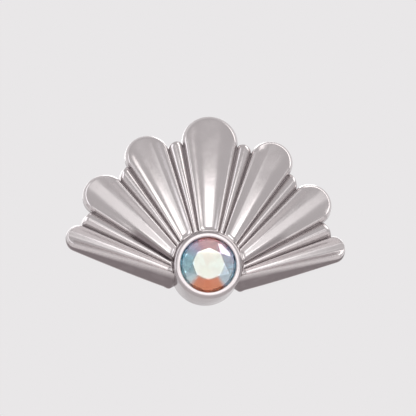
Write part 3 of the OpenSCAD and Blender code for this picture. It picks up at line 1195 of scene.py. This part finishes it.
@dataclass
class Stone:
    """The round brilliant: table, crown, girdle and foil-backed pavilion.

    Attributes:
        back_height: How far in front of the origin's plane the setting's flat back lies.
        girdle_height: Height of the girdle's top above that back.
        radius: Radius of the girdle.
        table_radius: Distance of the table's corners from the axis.
        crown: Height of the table above the girdle.
        pavilion: Depth of the point below the girdle.
        girdle: Height of the girdle's band.
        star_share: Distance of the star corners from the axis, where 1 is the girdle.
        lower_share: Distance of the lower corners from the axis, where 1 is the girdle.
        crystal: Finish of the table, the crown and the girdle.
        foil: Finish of the pavilion.
    """

    back_height: float = BACK_HEIGHT
    girdle_height: float = GIRDLE_HEIGHT
    radius: float = 1.0
    table_radius: float = 0.54
    crown: float = 0.3
    pavilion: float = 0.86
    girdle: float = 0.05
    star_share: float = 0.775
    lower_share: float = 0.24
    crystal: CoatedCrystal = CoatedCrystal()
    foil: MirrorFoil = MirrorFoil()

    def ring(self, count: int, radius: float, height: float, turn: float = 0.0) -> np.ndarray:
        """Corners spaced evenly round the axis.

        Args:
            count: Number of corners.
            radius: Their distance from the axis.
            height: Their height above the girdle's top.
            turn: Angle of the first corner.

        Returns:
            Array of (x, up, height), with the first two corners repeated at the end.
        """
        angle = turn + 360 * np.arange(count + 2) / count
        level = np.full(count + 2, self.girdle_height + height)
        return np.stack([radius * cosd(angle), radius * sind(angle), level], axis=-1)

    def build(self) -> list[bpy.types.Object]:
        """Cuts the stone: each eighth has the same facets round the octagonal table.

        The star corners lie on the crown's main facets, and the lower corners on the pavilion's.

        Returns:
            The finished stone.
        """
        slope = self.crown / (self.radius - self.table_radius)
        star_radius = self.star_share * self.radius
        lower_radius = self.lower_share * self.radius
        main = cosd(SIXTEENTH)
        lower_height = -self.girdle - self.pavilion * (1 - lower_radius * main / self.radius)

        table = self.ring(8, self.table_radius, self.crown)
        star = self.ring(8, star_radius, slope * (self.radius - star_radius * main), -SIXTEENTH)
        top = self.ring(16, self.radius, 0)
        belt = self.ring(16, self.radius, -self.girdle)
        lower = self.ring(8, lower_radius, lower_height, -SIXTEENTH)
        culet = self.ring(1, 0, -self.girdle - self.pavilion)[0]

        crown, pavilion = [table[:8]], []
        for i in range(8):
            j = 2 * i
            crown += [
                np.array([table[i], star[i + 1], table[i + 1]]),
                np.array([table[i], star[i], top[j], star[i + 1]]),
                np.array([star[i + 1], top[j], top[j + 1]]),
                np.array([star[i + 1], top[j + 1], top[j + 2]]),
                np.array([top[j], belt[j], belt[j + 1], top[j + 1]]),
                np.array([top[j + 1], belt[j + 1], belt[j + 2], top[j + 2]]),
            ]
            pavilion += [
                np.array([belt[j], lower[i + 1], belt[j + 1]]),
                np.array([belt[j + 1], lower[i + 1], belt[j + 2]]),
                np.array([belt[j], lower[i], culet, lower[i + 1]]),
            ]
        piece = make_piece(
            "brilliant",
            facets=[Facets(crown), Facets(pavilion, finish=1)],
            back_height=self.back_height,
            crease=1.0,
        )
        for finish in (self.crystal, self.foil):
            piece.data.materials.append(finish.build())
        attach(piece, BODY)
        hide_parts("stone")
        return [piece]


@dataclass
class ScrewPost:
    """The turned post: a spigot in the cup, a collar, a plain neck and a right-hand M1.2 thread.

    Distances along the post are from the collar's rear face, into the body.

    Attributes:
        back_height: How far in front of the origin's plane the setting's flat back lies.
        spigot_radius: Radius of the spigot in the cup's socket.
        spigot_length: Length of the spigot inside that socket.
        seat_gap: Gap between the collar and the cup.
        edge_break: Rounding of the spigot's and the neck's ends.
        collar_radius: Radius of the collar.
        collar: Thickness of the collar.
        collar_edge: Rounding of the collar's edges.
        neck_radius: Radius of the plain neck.
        neck: Length of the plain neck.
        thread_radius: Radius of the thread's crests.
        thread_depth: Depth of the thread, as a share of the pitch.
        flank: Length of each flank along the post, as a share of the pitch.
        flat_crest: Length of the flat crest, as a share of the pitch.
        ease: Share of a smooth curve that is mixed into the straight flanks.
        thread_recess: Recess at the thread's root, from 0 to 1: duller metal and painted shade
            there.
        pitch: Distance between the turns of the thread.
        turns: Number of turns.
        relief: Length of the bare root before the thread.
        run_out: Length of the bare root after it.
        tip_chamfer: Rounding of the tip's edge.
        sides: Steps round the axis.
        turn_rows: Rows in each turn of the thread.
        finish: The post's finish.
    """

    back_height: float = BACK_HEIGHT
    spigot_radius: float = 0.4
    spigot_length: float = 0.32
    seat_gap: float = 0.02
    edge_break: float = 0.02
    collar_radius: float = 0.8
    collar: float = 0.4
    collar_edge: float = 0.05
    neck_radius: float = 0.6
    neck: float = 0.5
    thread_radius: float = 0.59
    thread_depth: float = 0.6134
    flank: float = 0.3125
    flat_crest: float = 0.125
    ease: float = 0.4
    thread_recess: float = 0.8
    pitch: float = 0.25
    turns: int = 6
    relief: float = 0.05
    run_out: float = 0.02
    tip_chamfer: float = 0.08
    sides: int = 96
    turn_rows: int = 24
    finish: PolishedMetal = PolishedMetal(
        # Turned titanium, as machined: fine rings at the tool's feed of 0.025 mm and a slightly
        # darker grey
        name="turned_titanium_machined",
        colour="BCB6B5",
        groove_shade="8E8688",
        roughness=0.27,
        groove_roughness=0.4,
        hairline=0.025,
        hairline_depth=0.0015,
        stretch=(14.0, 1.0, 14.0),
        ripple=0.3,
        ripple_depth=0.002,
    )

    def thread(self, root: float, start: float) -> Patch:
        """The screw surface.

        Columns go once round, and rows run along the post in steps of the pitch's share s. A point
        lies at the start plus the pitch times (s plus the share of the turn), held between the
        ends. Its radius is the root's plus the depth times the section at the fractional part of
        s, which grows over the first turn and dies out over the last.

        Args:
            root: Radius at the foot of the thread.
            start: Where the thread starts along the post.

        Returns:
            A patch from one end of the thread to the other.
        """
        rows = np.arange(-self.turn_rows, self.turn_rows * (self.turns + 1) + 1)[:, None]
        turn, part = np.divmod(rows, self.turn_rows)
        part = part / self.turn_rows
        around = np.linspace(0, 1, self.sides + 1)
        wound = turn + around
        grown = np.clip(np.minimum(wound, self.turns - wound), 0, 1)
        # A 60 degree section: a flank up, a crest of an eighth of the pitch, and a flank down
        down = 2 * self.flank + self.flat_crest - part
        climb = np.minimum(part / self.flank, down / self.flank)
        section = smooth(climb) * self.ease + (1 - self.ease) * np.clip(climb, 0, 1)
        radius = root + (self.thread_radius - root) * section * grown
        along = start + self.pitch * np.clip(rows / self.turn_rows + around, 0, self.turns + 1)
        angle = 360 * around
        height = -self.back_height - along + 0 * radius
        points = np.stack([radius * cosd(angle), -radius * sind(angle), height], axis=-1)
        # Painted shade and duller metal at the thread's root, none on the crests
        return Patch(points, self.thread_recess * (1 - section * grown))

    def build(self) -> list[bpy.types.Object]:
        """Turns the plain parts, winds the thread between them and dresses the post.

        Returns:
            The finished post.
        """
        root = self.thread_radius - self.thread_depth * self.pitch
        start = self.neck + self.relief
        end = start + self.pitch * (self.turns + 1)
        tip = end + self.run_out + self.tip_chamfer
        spigot_end = -self.collar - self.seat_gap - self.spigot_length
        head = rounded(
            [
                (0, spigot_end, 0),
                (self.spigot_radius, spigot_end, self.edge_break),
                (self.spigot_radius, -self.collar, 0),
                (self.collar_radius, -self.collar, self.collar_edge),
                (self.collar_radius, 0, self.collar_edge),
                (self.neck_radius, 0, 0),
                (self.neck_radius, self.neck, self.edge_break),
                (root, self.neck, 0),
                (root, start, 0),
            ]
        )
        tail = rounded([(root, end, 0), (root, tip, self.tip_chamfer), (0, tip, 0)])
        for profile in (head, tail):
            profile[:, 1] = -self.back_height - profile[:, 1]
        piece = make_piece(
            "screw_post",
            [turned(head, self.sides), self.thread(root, start), turned(tail, self.sides)],
            back_height=self.back_height,
        )
        piece.data.materials.append(self.finish.build())
        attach(piece, BODY)
        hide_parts("threaded_post")
        return [piece]


@dataclass(frozen=True)
class Softbox:
    """A soft square light that looks at the object.

    Attributes:
        name: The light's name.
        azimuth: Where it stands: 0 is in front, 90 on the viewer's right.
        elevation: Its angle above the horizon.
        width: Its width in millimetres.
        height: Its height in millimetres.
        glow: Brightness of its face, where 1 is the pale background's.
        colour: Its sRGB hex colour.
        distance: Its distance from the object in millimetres.
    """

    name: str
    azimuth: float
    elevation: float
    width: float
    height: float
    glow: float
    colour: str
    distance: float = 150.0

    def build(self, target: Vector) -> None:
        """Sets the light up, turned to the target point and hidden from the camera itself.

        Args:
            target: The point to look at, in metres.
        """
        lamp = bpy.data.lights.new(self.name, "AREA")
        lamp.shape = "RECTANGLE"
        lamp.size, lamp.size_y = self.width * MM, self.height * MM
        lamp.energy = self.glow * math.pi * lamp.size * lamp.size_y
        lamp.color = linear(self.colour)[:3]
        stand = bpy.data.objects.new(self.name, lamp)
        away = towards(self.azimuth, self.elevation)
        stand.location = target + away * self.distance * MM
        stand.rotation_mode = "QUATERNION"
        stand.rotation_quaternion = (-away).to_track_quat("-Z", "Y")
        stand.visible_camera = False
        bpy.context.scene.collection.objects.link(stand)


@dataclass
class Studio:
    """A pale floor, a sky that is pale behind the object, soft lights and the camera.

    Attributes:
        target: Point that the camera and the lights look at, in metres.
        azimuth: Where the camera stands: 0 is in front, 90 on the viewer's right.
        elevation: The camera's angle above the horizon.
        roll: Angle by which the object shows turned clockwise.
        distance: Distance of the camera from the target.
        view_width: Width of the view at the target.
        floor_drop: How far the floor lies below the origin.
        floor_size: Length of the floor's sides.
        floor_colour: The floor's sRGB hex colour.
        floor_roughness: Roughness of the floor.
        sky: (how far a direction points backwards, from 0 to 1, sRGB hex colour) for each stop.
        lights: The soft lights.
    """

    target: Vector = field(default_factory=lambda: Vector((0, -0.001, 0.0021)))
    azimuth: float = -4.0
    elevation: float = -10.0
    roll: float = 1.9
    distance: float = 150.0
    view_width: float = 14.0
    floor_drop: float = 29.0
    floor_size: float = 420.0
    floor_colour: str = "E2DFDF"
    floor_roughness: float = 0.8
    sky: tuple[tuple[float, str], ...] = ((0.0, "C4C1C2"), (0.35, "D4D1D2"), (0.8, "E9E7E8"))
    lights: tuple[Softbox, ...] = (
        Softbox("key", 3, 21.5, 62, 68, 1.18, "FFFDFC"),
        Softbox("front_diffuser", 0, -10, 220, 94, 1.36, "FFFFFF"),
        Softbox("stone_light", 4, 7.6, 20, 11, 1.08, "FFFFFF"),
        Softbox("front_wash", 2, 21, 200, 62, 0.5, "FFFFFF"),
        Softbox("right_bounce", 36, -8, 60, 75, 0.5, "FFFFFF"),
        Softbox("left_fill", -82, 20, 95, 140, 1.05, "FAFBFF"),
        Softbox("right_fill", 81, 48, 95, 130, 1.4, "FFFCFA"),
        Softbox("back_fill", 180, 25, 90, 90, 1.5, "FFFFFF"),
    )

    def build_sky(self) -> None:
        """Makes the world: palest straight behind the object and darkest overhead and in front."""
        world = bpy.data.worlds.new("studio")
        world.use_nodes = True
        tree = world.node_tree
        tree.nodes.clear()
        way = add_node(tree, "ShaderNodeTexCoord").outputs["Generated"]
        parts = add_node(tree, "ShaderNodeSeparateXYZ", {"Vector": way})
        ramp = add_node(tree, "ShaderNodeValToRGB", {"Fac": parts.outputs["Y"]})
        set_ramp(ramp, self.sky)
        glow = add_node(tree, "ShaderNodeBackground", {"Color": ramp.outputs["Color"]})
        add_node(tree, "ShaderNodeOutputWorld", {"Surface": glow.outputs["Background"]})
        bpy.context.scene.world = world

    def build_floor(self) -> None:
        """Lays the plain pale floor, which isn't part of the object."""
        half = self.floor_size * MM / 2
        mesh = bpy.data.meshes.new("floor")
        plan = ((-half, -half), (half, -half), (half, half), (-half, half))
        mesh.from_pydata([(x, y, -self.floor_drop * MM) for x, y in plan], [], [(0, 1, 2, 3)])
        material, tree = new_material("studio_floor_matt")
        shader = add_node(
            tree,
            "ShaderNodeBsdfPrincipled",
            {"Base Color": linear(self.floor_colour), "Roughness": self.floor_roughness},
        )
        add_node(tree, "ShaderNodeOutputMaterial", {"Surface": shader.outputs["BSDF"]})
        mesh.materials.append(material)
        floor = bpy.data.objects.new("floor", mesh)
        bpy.context.scene.collection.objects.link(floor)

    def build_camera(self) -> None:
        """Sets up the camera at the photograph's angle, with a long lens and no depth of field."""
        lens = bpy.data.cameras.new("camera")
        lens.lens = lens.sensor_width * self.distance / self.view_width
        lens.clip_start, lens.clip_end = 0.001, 2.0
        camera = bpy.data.objects.new("camera", lens)
        back = towards(self.azimuth, self.elevation)
        camera.location = self.target + back * self.distance * MM
        camera.rotation_mode = "QUATERNION"
        turn = Quaternion((0, 0, 1), math.radians(self.roll))
        camera.rotation_quaternion = (-back).to_track_quat("-Z", "Y") @ turn
        bpy.context.scene.collection.objects.link(camera)
        bpy.context.scene.camera = camera

    def build(self) -> None:
        """Builds the whole stage, shown without a film curve so that pale greys stay pale."""
        bpy.context.scene.view_settings.view_transform = "Standard"
        self.build_camera()
        self.build_floor()
        self.build_sky()
        for light in self.lights:
            light.build(self.target)


def main() -> None:
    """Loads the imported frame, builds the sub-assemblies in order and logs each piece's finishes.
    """
    logging.basicConfig(level=logging.INFO, format="%(message)s")
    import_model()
    Studio().build()
    for assembly in (Setting(), Stone(), ScrewPost()):
        for piece in assembly.build():
            log.info("%s built with %s", piece.name, [m.name for m in piece.data.materials])
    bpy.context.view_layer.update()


if __name__ == "__main__":
    main()
